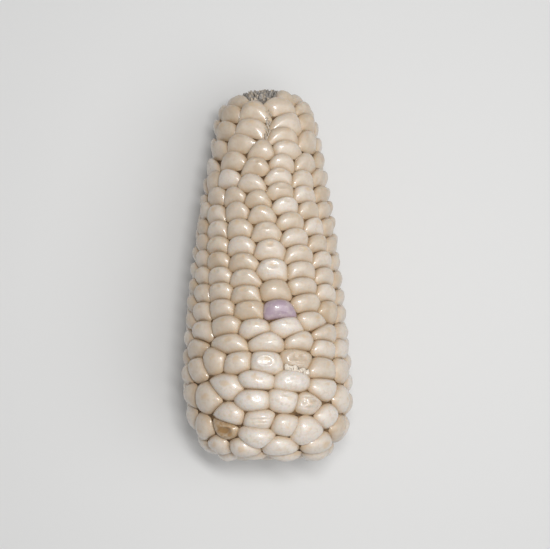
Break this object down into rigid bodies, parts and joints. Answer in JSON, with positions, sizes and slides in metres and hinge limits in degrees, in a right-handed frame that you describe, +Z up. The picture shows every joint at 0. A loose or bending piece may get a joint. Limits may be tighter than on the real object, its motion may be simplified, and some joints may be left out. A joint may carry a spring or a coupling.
{
  "type": "ear of white maize",
  "caption": "Husked ear of large-grained white maize lying on its side, with a purple grain, a bare chaffy tip and a snapped shank in the hollow of the butt.",
  "frame": {"origin": "on the surface that the ear lies on, under the middle of its bounding box", "axes": "+Y along the ear from the butt to the tip, +Z up from the surface, +X across the ear"},
  "size_m": [0.0575, 0.1275, 0.0574],
  "materials": {
    "white_grain": "satin",
    "purple_grain": "satin",
    "chaff": "matte",
    "stalk": "matte"
  },
  "bodies": {
    "root": {"white_grains": "white_grain", "purple_grain": "purple_grain", "cob_tip": "chaff", "shank": "stalk"}
  },
  "joints": []
}
